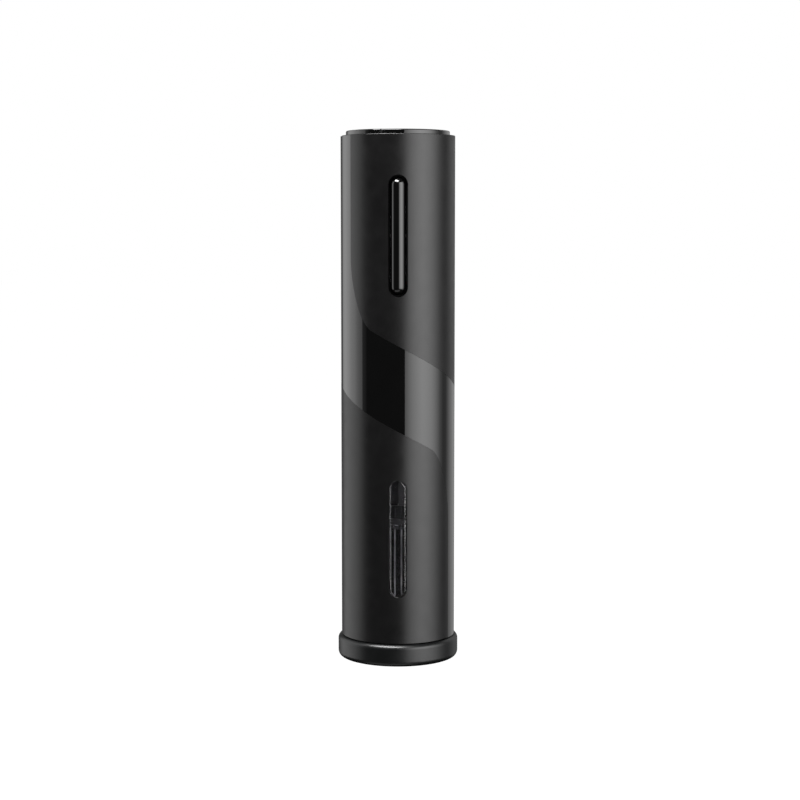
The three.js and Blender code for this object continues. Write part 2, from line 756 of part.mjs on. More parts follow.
// ---- Lid ----
function batteryLid() {
  const { radius, top, underside, inside, edge, tickAngle } = lid;
  const { tip, head, neck, foot, bottom, headTop, neckTop } = stud;
  const body = turned([
    [0, bottom],
    [tip, bottom],
    [head, headTop],
    [neck, headTop + 0.1],
    [neck, neckTop],
    [foot, neckTop],
    [foot, inside],
    [skirt.inner, inside],
    [skirt.inner, skirt.bottom],
    [skirt.outer, skirt.bottom],
    [skirt.outer, underside],
    [radius, underside],
    [radius, top - edge],
    [radius - edge, top],
    [0, top],
  ], MEDIUM);
  const lug = (angle) => warpedBox(3, (u, v, w) => {
    const turn = angle + THREE.MathUtils.degToRad(THREE.MathUtils.lerp(-3, 3, u));
    const z = thread.z + THREE.MathUtils.lerp(-0.5, 0.5, v) * thread.lugHeight;
    return polar(THREE.MathUtils.lerp(skirt.outer - 0.5, thread.lugRadius, w), turn, z);
  });
  const tick = new THREE.BoxGeometry(0.7, 0.8, 4).translate(0, -radius, top).rotateZ(tickAngle);
  const whole = joined([body, ...around(thread.starts, lug)]);
  return whole.subtract(solid(tick));
}

// ---- Foil cutter base ----
const wheelAngles = [0, 1, 2, 3].map((i) => (i * Math.PI) / 2);

function axleSockets(bottom, top) {
  return wheelAngles.map((angle) => {
    const from = polar(wheel.orbit, angle, bottom);
    return rod(axle.socket, from, polar(wheel.orbit, angle, top), 8);
  });
}

function cutterRing() {
  const { radius, height, bore, floor, pocket, fillet, shoulder } = ring;
  const arc = (cx, cz, size, from) => [0, 1, 2].map((i) => {
    const angle = from + (i * Math.PI) / 4;
    return [cx + size * Math.cos(angle), cz + size * Math.sin(angle)];
  });
  const body = turned([
    [bore, 0],
    ...arc(radius - fillet, fillet, fillet, -Math.PI / 2),
    ...arc(radius - shoulder, height - shoulder, shoulder, 0),
    [pocket, height],
    [pocket, floor],
    [bore, floor],
  ], ROUND);
  return without(body, axleSockets(axle.bottom - GAP, floor + 2));
}

function cutterCover() {
  const { inner, outer, top, discBottom, discTop, edge } = plug;
  const discOuter = ring.pocket - GAP;
  const body = turned([
    [ring.bore, discBottom],
    [discOuter, discBottom],
    [discOuter, discTop],
    [outer, discTop],
    [outer, top - edge],
    [outer - edge, top],
    [inner, top],
    [inner, discTop],
    [ring.bore, discTop],
  ], MEDIUM);
  return without(body, axleSockets(discBottom - 1, axle.top + GAP));
}

function cutterWheel(angle) {
  const { radius, z, thickness, orbit } = wheel;
  const half = thickness / 2;
  const [x, y] = polar(orbit, angle, 0);
  return turned([
    [0, axle.bottom],
    [axle.radius, axle.bottom],
    [axle.radius, z - half],
    [radius - 1, z - half],
    [radius, z],
    [radius - 1, z + half],
    [axle.radius, z + half],
    [axle.radius, axle.top],
    [0, axle.top],
  ], 16).translate([x, y, 0]);
}

// ---- Wires ----
function motorLead(side) {
  const path = new THREE.CatmullRomCurve3([
    new THREE.Vector3(side * 7, -1.1, 167.2),
    new THREE.Vector3(side * 7, -6, 167.2),
    new THREE.Vector3(side * 6, -12, 166.9),
    new THREE.Vector3(side * 3.6, -14.2, 165.6),
    new THREE.Vector3(side * 3, -14.3, 166.6),
  ]);
  return wireAlong(path, 0.5, 14, 6);
}

// ---- Materials and assembly ----
function finish(color, roughness, metalness = 0) {
  return new THREE.MeshStandardMaterial({ color, roughness, metalness });
}

const looks = {
  satinBlack: finish(0x1c1c1e, 0.42),
  glossBlack: finish(0x08080a, 0.08),
  innerBlack: finish(0x222224, 0.6),
  smoked: finish(0x2a2c30, 0.05),
  chassisGrey: finish(0x3a3b3e, 0.6),
  gearWhite: finish(0xd9d4c4, 0.5),
  steel: finish(0xb4b6ba, 0.3, 1),
  coated: finish(0x2b2b2d, 0.3, 0.6),
  bronze: finish(0xa8763e, 0.4, 1),
  magnet: finish(0x4a4a4c, 0.7, 0.2),
  copper: finish(0xb87333, 0.35, 1),
  rubber: finish(0x55565a, 0.85),
  board: finish(0x1f5a35, 0.5),
  cellBody: finish(0x4d5a66, 0.35, 0.5),
  spring: finish(0xc9cacc, 0.25, 1),
  redWire: finish(0xa32020, 0.5),
  blackWire: finish(0x151515, 0.5),
};

Object.assign(looks.smoked, { transparent: true, opacity: 0.45 });

const opener = new THREE.Group();

function add(name, body, look) {
  const mesh = new THREE.Mesh(geometryOf(body), look);
  mesh.name = name;
  opener.add(mesh);
}

add('tube_shell', tubeShell(), looks.satinBlack);
add('gloss_band', glossBand(), looks.glossBlack);
add('window_lens', windowLens(), looks.smoked);
add('switch_bezel', switchBezel(), looks.innerBlack);
add('rocker_button', rockerButton(), looks.glossBlack);
add('rocker_pin', rockerPin(), looks.steel);
add('switch_pad', switchPad(), looks.rubber);
add('circuit_board', circuitBoard(), looks.board);
add('neck_guide', neckGuide(), looks.smoked);
add('cork_chamber', corkChamber(), looks.chassisGrey);
add('worm_spiral', wormSpiral(), looks.coated);
add('worm_hub', wormHub(), looks.innerBlack);
add('output_bushing', outputBushing(), looks.bronze);
add('bearing_plate', bearingPlate(), looks.chassisGrey);
add('output_carrier', outputCarrier(), looks.steel);
add('ring_gear', ringGear(), looks.gearWhite);
add('carrier_one', carrierOne(), looks.steel);
around(3, (angle, i) => add(`planet_one_${i + 1}`, planetGear(stage1, angle), looks.gearWhite));
around(3, (angle, i) => add(`planet_two_${i + 1}`, planetGear(stage2, angle), looks.gearWhite));
add('motor_pinion', motorPinion(), looks.bronze);
add('motor_plate', motorPlate(), looks.steel);
[0, 1, 2].forEach((i) => add(`gearbox_screw_${i + 1}`, gearboxScrew(i), looks.steel));
motorScrewPlaces.forEach((x, i) => add(`motor_screw_${i + 1}`, motorScrew(x), looks.steel));
add('motor_can', motorCan(), looks.steel);
add('motor_end_cap', motorEndCap(), looks.innerBlack);
add('motor_magnet', magnetRing(), looks.magnet);
add('armature', armature(), looks.copper);
add('motor_terminal_1', motorTerminal(-1), looks.bronze);
add('motor_terminal_2', motorTerminal(1), looks.bronze);
add('motor_lead_black', motorLead(-1), looks.blackWire);
add('motor_lead_red', motorLead(1), looks.redWire);
add('chassis_left', chassisHalf(-1), looks.chassisGrey);
add('chassis_right', chassisHalf(1), looks.chassisGrey);
chassisScrewZ.forEach((z, i) => add(`chassis_screw_${i + 1}`, chassisScrew(z), looks.steel));
add('battery_box', batteryBox(), looks.innerBlack);
cellPlaces.forEach((place, i) => add(`cell_${i + 1}`, batteryCell(place), looks.cellBody));
add('contact_positive', bottomContact(cell.pitch, false), looks.spring);
add('contact_negative', bottomContact(-cell.pitch, true), looks.spring);
add('contact_bridge_bottom', bottomBridge(), looks.spring);
add('contact_bridge_left', topBridge(-cell.pitch, cell.centreY + cell.pitch), looks.spring);
add('contact_bridge_right', topBridge(cell.pitch, cell.centreY - cell.pitch), looks.spring);
add('lid_contact_plate', lidContactPlate(), looks.innerBlack);
add('battery_lid', batteryLid(), looks.glossBlack);
add('cutter_ring', cutterRing(), looks.satinBlack);
add('cutter_cover', cutterCover(), looks.innerBlack);
wheelAngles.forEach((angle, i) => add(`cutter_wheel_${i + 1}`, cutterWheel(angle), looks.steel));

export default opener;
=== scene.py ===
import json
import math

import bpy
from mathutils import Matrix, Vector


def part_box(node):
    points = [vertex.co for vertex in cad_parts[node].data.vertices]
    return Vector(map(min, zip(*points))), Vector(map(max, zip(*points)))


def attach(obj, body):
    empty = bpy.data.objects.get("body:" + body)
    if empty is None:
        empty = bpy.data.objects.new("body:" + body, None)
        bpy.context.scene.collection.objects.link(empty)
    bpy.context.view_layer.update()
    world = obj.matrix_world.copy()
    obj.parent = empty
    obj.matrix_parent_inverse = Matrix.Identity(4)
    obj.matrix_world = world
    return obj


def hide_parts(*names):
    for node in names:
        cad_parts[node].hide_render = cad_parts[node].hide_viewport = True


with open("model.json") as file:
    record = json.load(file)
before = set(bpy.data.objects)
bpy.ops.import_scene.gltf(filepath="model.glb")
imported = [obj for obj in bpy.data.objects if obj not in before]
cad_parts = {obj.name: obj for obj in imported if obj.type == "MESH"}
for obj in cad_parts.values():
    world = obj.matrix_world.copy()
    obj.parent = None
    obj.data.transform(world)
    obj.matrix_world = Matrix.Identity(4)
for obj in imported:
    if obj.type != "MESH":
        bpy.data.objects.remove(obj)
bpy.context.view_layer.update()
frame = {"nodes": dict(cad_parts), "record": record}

MM = 0.001
TAU = 2 * math.pi

# ---- Sizes read from the frame (metres) ----
tube_low, tube_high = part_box("tube_shell")
ring_radius, _, ring_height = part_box("cutter_ring")[1]
cover_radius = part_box("cutter_cover")[1][0]
lid_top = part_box("battery_lid")[1][2]
lens_low, lens_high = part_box("window_lens")
button_low, button_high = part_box("rocker_button")
pin_low, pin_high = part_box("rocker_pin")
guide_low, guide_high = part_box("neck_guide")
chamber_low, chamber_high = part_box("cork_chamber")
hub_low, hub_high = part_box("worm_hub")

tube_radius = tube_high[0]
tube_bottom = tube_low[2]
tube_top = tube_high[2]
tube_wall = 1.8 * MM
lid_radius = 22.67 * MM
slit = 0.3 * MM
pivot_z = (pin_low[2] + pin_high[2]) / 2
pivot_y = (pin_low[1] + pin_high[1]) / 2
window_width = lens_high[0] - lens_low[0] + 2 * slit
window_bottom = lens_low[2] - slit
window_top = lens_high[2] + slit
ribbon_depth = 0.5 * MM
guide_bore = 15.6 * MM
cork_bore = 12.6 * MM
foil_bore = 15.5 * MM
rim_radius = 22.8 * MM

# Distances from the axis where a cutting shape starts and ends, to go right through a wall.
cut_inside = 20 * MM
cut_outside = 28 * MM
slot_inside = 15 * MM
slot_outside = 30 * MM

# Points round a full circle.
ROUND = 192
FINE_ROUND = 256


# ---- Mesh building ----
def mesh_object(name, points, faces, smooth_angle=38):
    mesh = bpy.data.meshes.new(name)
    mesh.from_pydata([tuple(p) for p in points], [], faces)
    mesh.validate()
    mesh.update()
    mesh.shade_smooth()
    mesh.set_sharp_from_angle(angle=math.radians(smooth_angle))
    piece = bpy.data.objects.new(name, mesh)
    bpy.context.scene.collection.objects.link(piece)
    return piece


def weighted(piece):
    """Flat faces stay flat beside small rounded edges."""
    modifier = piece.modifiers.new("weighted_normals", "WEIGHTED_NORMAL")
    modifier.keep_sharp = True
    return piece


def fillet(profile, radii, steps=6):
    """The closed outline with each corner rounded by its radius."""
    rounded = []
    count = len(profile)
    for i, (point, radius) in enumerate(zip(profile, radii)):
        here = Vector(point)
        if radius == 0:
            rounded.append(here)
            continue
        before = (Vector(profile[i - 1]) - here).normalized()
        after = (Vector(profile[(i + 1) % count]) - here).normalized()
        half = before.angle(after) / 2
        reach = radius / math.tan(half)
        centre = here + (before + after).normalized() * (radius / math.sin(half))
        start = here + before * reach - centre
        end = here + after * reach - centre
        turn = start.angle_signed(end)
        for k in range(steps + 1):
            rounded.append(centre + Matrix.Rotation(-turn * k / steps, 2) @ start)
    return rounded


def lathe(name, profile, radii=None, segments=ROUND, steps=6, centre=(0, 0)):
    """A closed outline of (radius, height) turned about a vertical axis."""
    outline = fillet(profile, radii, steps) if radii else [Vector(p) for p in profile]
    points = []
    rows = []
    for radius, height in outline:
        if radius < 1e-9:
            rows.append([len(points)] * segments)
            points.append((centre[0], centre[1], height))
            continue
        rows.append(list(range(len(points), len(points) + segments)))
        for k in range(segments):
            angle = TAU * k / segments
            points.append((centre[0] + radius * math.sin(angle),
                           centre[1] - radius * math.cos(angle), height))
    faces = []
    for low, high in zip(rows, rows[1:] + rows[:1]):
        for k in range(segments):
            n = (k + 1) % segments
            face = [low[k], low[n], high[n], high[k]]
            corners = list(dict.fromkeys(face))
            if len(corners) > 2:
                faces.append(corners)
    return weighted(mesh_object(name, points, faces))


def loft(name, rings, smooth_angle=38):
    """Rings with the same number of points, joined in order and capped."""
    size = len(rings[0])
    points = [p for ring in rings for p in ring]
    faces = []
    for i in range(len(rings) - 1):
        for k in range(size):
            n = (k + 1) % size
            faces.append([i * size + k, i * size + n, (i + 1) * size + n, (i + 1) * size + k])
    faces.append(list(range(size))[::-1])
    faces.append([(len(rings) - 1) * size + k for k in range(size)])
    return mesh_object(name, points, faces, smooth_angle)


def obround(width, bottom, top, steps=16):
    """(x, z) points round an upright slot with half-round ends."""
    radius = width / 2
    upper = [(radius * math.cos(a), top - radius + radius * math.sin(a))
             for a in (math.pi * k / steps for k in range(steps + 1))]
    lower = [(-radius * math.cos(a), bottom + radius - radius * math.sin(a))
             for a in (math.pi * k / steps for k in range(steps + 1))]
    return upper + lower


def obround_cutter(name, stations):
    """stations: (distance in front of the axis, width, bottom, top)."""
    return loft(name, [
        [(x, -front, z) for x, z in obround(width, bottom, top)]
        for front, width, bottom, top in stations
    ])


def box_piece(name, low, high, bevel=0.15 * MM):
    corners = [(x, y, z) for z in (low[2], high[2]) for y in (low[1], high[1]) for x in (low[0], high[0])]
    faces = [[0, 2, 3, 1], [4, 5, 7, 6], [0, 1, 5, 4], [2, 6, 7, 3], [0, 4, 6, 2], [1, 3, 7, 5]]
    piece = mesh_object(name, corners, faces)
    modifier = piece.modifiers.new("edges", "BEVEL")
    modifier.width = bevel
    modifier.segments = 3
    return weighted(piece)


def boolean(piece, cutter, operation):
    modifier = piece.modifiers.new("cut", "BOOLEAN")
    modifier.operation = operation
    modifier.solver = "EXACT"
    modifier.object = cutter
    bake(piece)
    old = cutter.data
    bpy.data.objects.remove(cutter)
    bpy.data.meshes.remove(old)
    return piece


def bake(piece):
    graph = bpy.context.evaluated_depsgraph_get()
    mesh = bpy.data.meshes.new_from_object(piece.evaluated_get(graph))
    old = piece.data
    piece.modifiers.clear()
    piece.data = mesh
    bpy.data.meshes.remove(old)


def round_normals(piece, edge=0.35):
    """Walls that follow the tube shade as true cylinders, and every cut face stays flat."""
    mesh = piece.data
    normals = []
    for polygon in mesh.polygons:
        for index in polygon.vertices:
            point = mesh.vertices[index].co
            radial = Vector((point.x, point.y, 0)).normalized()
            facing = polygon.normal.dot(Vector((polygon.center.x, polygon.center.y, 0)).normalized())
            if abs(facing) > math.cos(edge):
                normals.append(radial * math.copysign(1, facing))
            else:
                normals.append(polygon.normal.copy())
    mesh.shade_smooth()
    mesh.normals_split_custom_set(normals)
    return piece


def sleeve(name, inner, outer, bottom, top, segments=ROUND):
    piece = lathe(name, [(inner, bottom), (outer, bottom), (outer, top), (inner, top)], segments=segments)
    piece.modifiers.clear()
    return piece


# ---- Gloss ribbon: two vertical arms joined by a slope across the front ----
slope = Vector((1, -0.525)).normalized()
inner_top = Vector((-23.7, 151.9)) * MM
outer_top = Vector((-56, 132.2)) * MM
inner_bottom = Vector((26.7, 88.3)) * MM
outer_bottom = Vector((59, 108)) * MM
bend_slope = 12.9 * MM
bend_arm = 25 * MM
bend_handle = 0.45


def bezier(a, b, c, d, steps):
    curve = []
    for k in range(steps + 1):
        t = k / steps
        s = 1 - t
        curve.append(a * s ** 3 + b * 3 * s * s * t + c * 3 * s * t * t + d * t ** 3)
    return curve


def straight(a, b, steps):
    return [a.lerp(b, k / steps) for k in range(steps + 1)]


def rounded_bend(start, corner, end):
    return bezier(start, start.lerp(corner, bend_handle), end.lerp(corner, bend_handle), end, 28)


def ribbon_edge(top_corner, bottom_corner):
    """One side of the ribbon: (distance round the tube, height) down an arm, the slope and an arm."""
    up = Vector((0, 1))
    arm_a = top_corner + up * bend_arm
    slope_a = top_corner + slope * bend_slope
    slope_b = bottom_corner - slope * bend_slope
    arm_b = bottom_corner - up * bend_arm
    parts = [
        straight(Vector((top_corner.x, tube_top + 2 * MM)), arm_a, 6),
        rounded_bend(arm_a, top_corner, slope_a),
        straight(slope_a, slope_b, 40),
        rounded_bend(slope_b, bottom_corner, arm_b),
        straight(arm_b, Vector((bottom_corner.x, tube_bottom - 2 * MM)), 6),
    ]
    return parts[0] + [p for part in parts[1:] for p in part[1:]]


def on_tube(radius, arc, height):
    angle = arc / tube_radius
    return (radius * math.sin(angle), -radius * math.cos(angle), height)


def ribbon_cutter(name, inset):
    """A solid through the tube wall in the ribbon's shape, drawn in by the inset along each edge."""
    upper = ribbon_edge(inner_top, outer_bottom)
    lower = ribbon_edge(outer_top, inner_bottom)
    columns = 28
    rings = []
    for low, high in zip(lower, upper):
        across = (high - low).normalized() * inset
        row = straight(low + across, high - across, columns)
        rings.append([on_tube(cut_outside, p.x, p.y) for p in row]
                     + [on_tube(cut_inside, p.x, p.y) for p in reversed(row)])
    return loft(name, rings)


# ---- Materials ----
def node_material(name):
    material = bpy.data.materials.new(name)
    material.use_nodes = True
    tree = material.node_tree
    return material, tree, tree.nodes["Principled BSDF"]


def noise(tree, scale, detail=4.0, stretch=(1, 1, 1)):
    place = tree.nodes.new("ShaderNodeTexCoord")
    mapping = tree.nodes.new("ShaderNodeMapping")
    mapping.inputs["Scale"].default_value = stretch
    texture = tree.nodes.new("ShaderNodeTexNoise")
    texture.inputs["Scale"].default_value = scale
    texture.inputs["Detail"].default_value = detail
    tree.links.new(place.outputs["Object"], mapping.inputs["Vector"])
    tree.links.new(mapping.outputs["Vector"], texture.inputs["Vector"])
    return texture.outputs["Fac"]


def ranged(tree, value, low, high, first=0.3, last=0.7):
    stage = tree.nodes.new("ShaderNodeMapRange")
    stage.inputs["From Min"].default_value = first
    stage.inputs["From Max"].default_value = last
    stage.inputs["To Min"].default_value = low
    stage.inputs["To Max"].default_value = high
    tree.links.new(value, stage.inputs["Value"])
    return stage.outputs["Result"]


def tinted(tree, value, dark, light):
    ramp = tree.nodes.new("ShaderNodeValToRGB")
    ramp.color_ramp.elements[0].position = 0.3
    ramp.color_ramp.elements[0].color = (*dark, 1)
    ramp.color_ramp.elements[1].position = 0.7
    ramp.color_ramp.elements[1].color = (*light, 1)
    tree.links.new(value, ramp.inputs["Fac"])
    return ramp.outputs["Color"]


def bump(tree, shader, value, strength, depth):
    node = tree.nodes.new("ShaderNodeBump")
    node.inputs["Strength"].default_value = strength
    node.inputs["Distance"].default_value = depth
    tree.links.new(value, node.inputs["Height"])
    tree.links.new(node.outputs["Normal"], shader.inputs["Normal"])


def moulded(name, dark, light, rough, grain=2600, grain_depth=0.004 * MM, sheen=(0.5, 0.5), strength=0.3):
    """Moulded or coated plastic: a fine even grain, with soft patches in colour and roughness.
    sheen: how strongly it reflects seen face on, and seen edge on.
    """
    material, tree, shader = node_material(name)
    patches = noise(tree, 60, 3)
    tree.links.new(tinted(tree, patches, dark, light), shader.inputs["Base Color"])
    tree.links.new(ranged(tree, noise(tree, 180, 5), rough[0], rough[1]), shader.inputs["Roughness"])
    facing = tree.nodes.new("ShaderNodeLayerWeight").outputs["Facing"]
    tree.links.new(ranged(tree, facing, sheen[0], sheen[1], 0.1, 0.75), shader.inputs["Specular IOR Level"])
    bump(tree, shader, noise(tree, grain, 2), strength, grain_depth)
    return material


def glossy(name, dark, light, rough=(0.045, 0.06)):
    """Polished black plastic with the faint waviness of a moulding and fine handling marks."""
    material, tree, shader = node_material(name)
    tree.links.new(tinted(tree, noise(tree, 40, 2), dark, light), shader.inputs["Base Color"])
    marks = noise(tree, 900, 6, (1, 1, 0.2))
    tree.links.new(ranged(tree, marks, rough[0], rough[1]), shader.inputs["Roughness"])
    bump(tree, shader, noise(tree, 45, 1), 0.06, 0.02 * MM)
    return material


def metal(name, dark, light, rough, stretch=(1, 1, 1), scale=900):
    """Worked metal: fine marks along the direction it was turned or drawn in."""
    material, tree, shader = node_material(name)
    shader.inputs["Metallic"].default_value = 1
    marks = noise(tree, scale, 5, stretch)
    tree.links.new(tinted(tree, marks, dark, light), shader.inputs["Base Color"])
    tree.links.new(ranged(tree, marks, rough[0], rough[1]), shader.inputs["Roughness"])
    bump(tree, shader, marks, 0.15, 0.01 * MM)
    return material


def clear_plastic(name, tint, rough, clarity=1):
    """Tinted acrylic, faintly wavy. clarity: how much light passes through it."""
    material, tree, shader = node_material(name)
    tree.links.new(ranged(tree, noise(tree, 300, 4), rough[0], rough[1]), shader.inputs["Roughness"])
    paler = tuple(c * 1.15 for c in tint)
    tree.links.new(tinted(tree, noise(tree, 50, 2), tint, paler), shader.inputs["Base Color"])
    shader.inputs["Transmission Weight"].default_value = clarity
    shader.inputs["IOR"].default_value = 1.49
    shader.inputs["Specular IOR Level"].default_value = 0.33
    bump(tree, shader, noise(tree, 60, 1), 0.05, 0.02 * MM)
    return material


satin_black = moulded("satin_black", (0.0021, 0.0020, 0.0021), (0.0028, 0.0027, 0.0028), (0.29, 0.35),
                      sheen=(0.38, 0.06))
base_black = moulded("base_black", (0.0020, 0.0022, 0.0023), (0.0028, 0.0030, 0.0031), (0.29, 0.35), 1800,
                     0.006 * MM, sheen=(0.38, 0.06))
piano_black = glossy("piano_black", (0.0011, 0.0011, 0.0011), (0.0016, 0.0016, 0.0016))
button_black = glossy("button_black", (0.0009, 0.0009, 0.0009), (0.0014, 0.0014, 0.0014), (0.04, 0.07))
# Near-black and almost unreflecting: painted shade, so the switch frame seen in the gap round the rocker
# reads as shadow.
bezel_painted_shade = moulded("bezel_painted_shade", (0.0006, 0.0006, 0.0006), (0.0012, 0.0012, 0.0012), (0.4, 0.5), 1500,
                     sheen=(0.1, 0.1))
inner_black = moulded("inner_black", (0.0035, 0.0035, 0.0037), (0.006, 0.006, 0.0064), (0.42, 0.55), 900,
                      0.01 * MM, (0.3, 0.3))
chassis_grey = moulded("chassis_grey", (0.011, 0.011, 0.012), (0.016, 0.016, 0.017), (0.3, 0.42), 900,
                       0.01 * MM)
acetal = moulded("acetal", (0.60, 0.56, 0.47), (0.70, 0.66, 0.56), (0.38, 0.48), 700, 0.006 * MM)
silicone = moulded("silicone", (0.10, 0.10, 0.11), (0.14, 0.14, 0.15), (0.6, 0.75), 500, 0.01 * MM)
solder_mask = moulded("solder_mask", (0.012, 0.09, 0.035), (0.018, 0.12, 0.05), (0.25, 0.35), 300)
cell_sleeve = moulded("cell_sleeve", (0.05, 0.08, 0.11), (0.06, 0.10, 0.135), (0.22, 0.3), 200, 0.003 * MM)
ferrite = moulded("ferrite", (0.04, 0.04, 0.043), (0.06, 0.06, 0.064), (0.6, 0.7), 800, 0.02 * MM)
red_insulation = moulded("red_insulation", (0.35, 0.012, 0.01), (0.45, 0.02, 0.016), (0.35, 0.45), 400)
black_insulation = moulded("black_insulation", (0.008, 0.008, 0.008), (0.014, 0.014, 0.014),
                           (0.35, 0.45), 400)
turned_steel = metal("turned_steel", (0.50, 0.51, 0.53), (0.62, 0.63, 0.65), (0.22, 0.34), (1, 1, 8))
plated_steel = metal("plated_steel", (0.55, 0.55, 0.56), (0.68, 0.68, 0.69), (0.18, 0.28))
bronze = metal("bronze", (0.45, 0.28, 0.12), (0.56, 0.36, 0.17), (0.28, 0.4))
winding = metal("winding", (0.48, 0.2, 0.08), (0.6, 0.28, 0.12), (0.25, 0.4), (1, 1, 12), 1500)
smoked_clear = clear_plastic("smoked_clear", (0.62, 0.62, 0.64), (0.02, 0.04))
guide_clear = clear_plastic("guide_clear", (0.20, 0.205, 0.215), (0.08, 0.16), 0.8)
# Pale grey for the window rails: painted highlight, standing in for the light their rounded fronts catch
# behind the lens.
rail_painted_highlight = moulded("rail_painted_highlight", (0.15, 0.15, 0.155), (0.24, 0.24, 0.25), (0.2, 0.35), 500,
                        0.02 * MM)


def coated_wire():
    """Dark low-friction coating over steel, with a fine mottle."""
    material, tree, shader = node_material("coated_wire")
    mottle = noise(tree, 700, 6)
    colour = tinted(tree, mottle, (0.018, 0.018, 0.019), (0.035, 0.035, 0.037))
    tree.links.new(colour, shader.inputs["Base Color"])
    tree.links.new(ranged(tree, mottle, 0.3, 0.45), shader.inputs["Roughness"])
    shader.inputs["Metallic"].default_value = 0.3
    bump(tree, shader, mottle, 0.2, 0.01 * MM)
    return material


worm_coating = coated_wire()


def finish_piece(piece, material, body, slot, *replaced):
    piece.data.materials.clear()
    piece.data.materials.append(material)
    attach(piece, body)
    if replaced:
        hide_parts(*replaced)
    return piece


# ---- Outer tube and ribbon ----
def slot_cutter(name, width, bottom, top, flare):
    """An upright slot through the tube wall. flare: how much its outer edge is eased."""
    grown = width + 2 * flare, bottom - flare, top + flare
    return obround_cutter(name, [
        (slot_inside, width, bottom, top),
        (tube_radius - 0.4 * MM - flare, width, bottom, top),
        (tube_radius - 0.35 * MM, *grown),
        (tube_radius + 4 * MM, *grown),
    ])


def make_tube():
    rocker_slot = 8.2 * MM
    rocker_reach = 25.9 * MM
    inner = tube_radius - tube_wall
    tube = lathe("tube_body", [
        (inner, tube_bottom),
        (tube_radius, tube_bottom),
        (tube_radius, tube_top),
        (inner, tube_top),
    ], [0.2 * MM, 0.25 * MM, 0.3 * MM, 0.3 * MM], steps=4)
    bake(tube)
    skin = sleeve("skin", tube_radius - ribbon_depth - 0.1 * MM, tube_radius + 1 * MM,
                  tube_bottom - 1 * MM, tube_top + 1 * MM)
    recess = boolean(skin, ribbon_cutter("recess", 0), "INTERSECT")
    boolean(tube, recess, "DIFFERENCE")
    window = slot_cutter("window_cut", window_width, window_bottom, window_top, 0.05 * MM)
    boolean(tube, window, "DIFFERENCE")
    slot = slot_cutter("rocker_cut", rocker_slot, pivot_z - rocker_reach, pivot_z + rocker_reach, 0.1 * MM)
    boolean(tube, slot, "DIFFERENCE")
    round_normals(tube)
    return finish_piece(tube, satin_black, "housing", "satin_body", "tube_shell")


def make_ribbon():
    skin = sleeve("gloss_ribbon", tube_radius - ribbon_depth, tube_radius, tube_bottom, tube_top - 0.3 * MM)
    ribbon = boolean(skin, ribbon_cutter("ribbon_cut", 0.05 * MM), "INTERSECT")
    round_normals(ribbon)
    return finish_piece(ribbon, piano_black, "housing", "gloss_trim", "gloss_band")


make_tube()
make_ribbon()


# ---- Window ----
def make_lens():
    """A flat pane with a rounded front edge, filling the slot."""
    width = window_width - 0.5 * MM
    bottom = window_bottom + 0.05 * MM
    top = window_top - 0.05 * MM
    front = 24.68 * MM
    back = 23.1 * MM
    edge = 0.95 * MM
    rings = [(back, 0.12 * MM), (back + 0.12 * MM, 0)]
    for k in range(7):
        angle = math.pi / 2 * k / 6
        rings.append((front - edge + edge * math.sin(angle), edge * (1 - math.cos(angle))))
    pane = loft("lens_pane", [
        [(x, -y, z) for x, z in obround(width - 2 * inset, bottom + inset, top - inset, 24)]
        for y, inset in rings
    ])
    return finish_piece(weighted(pane), smoked_clear, "housing", "smoked_lens", "window_lens")


make_lens()


# ---- Rocker ----
pivot_half = 3 * MM


def make_bezel():
    """The switch frame behind the slot, with a mouth for the rocker and two cheeks for its pin."""
    width = 12 * MM
    half = 27.6 * MM
    mouth = button_high[0] - button_low[0] + 2 * slit
    mouth_half = 25.3 * MM
    skin = sleeve("switch_frame", 21.2 * MM, rim_radius, pivot_z - 30 * MM, pivot_z + 30 * MM, 240)
    outline = obround_cutter("outline", [
        (front, width, pivot_z - half, pivot_z + half) for front in (slot_inside, slot_outside)
    ])
    hole = obround_cutter("mouth", [
        (front, mouth, pivot_z - mouth_half, pivot_z + mouth_half)
        for front in (slot_inside, slot_outside)
    ])
    holder = boolean(boolean(skin, outline, "INTERSECT"), hole, "DIFFERENCE")
    round_normals(holder)
    # The switch frame takes the painted-shade black, darker than the other blacks.
    finish_piece(holder, bezel_painted_shade, "housing", "inner_black", "switch_bezel")
    cheek_inner = 3.45 * MM
    cheek_outer = 5 * MM
    cheek_front = -21.6 * MM
    cheek_back = -17.5 * MM
    for side, name in ((-1, "left"), (1, "right")):
        x0, x1 = sorted((side * cheek_inner, side * cheek_outer))
        cheek = box_piece(f"pivot_cheek_{name}", (x0, cheek_front, pivot_z - pivot_half),
                          (x1, cheek_back, pivot_z + pivot_half))
        finish_piece(cheek, inner_black, "housing", "inner_black")


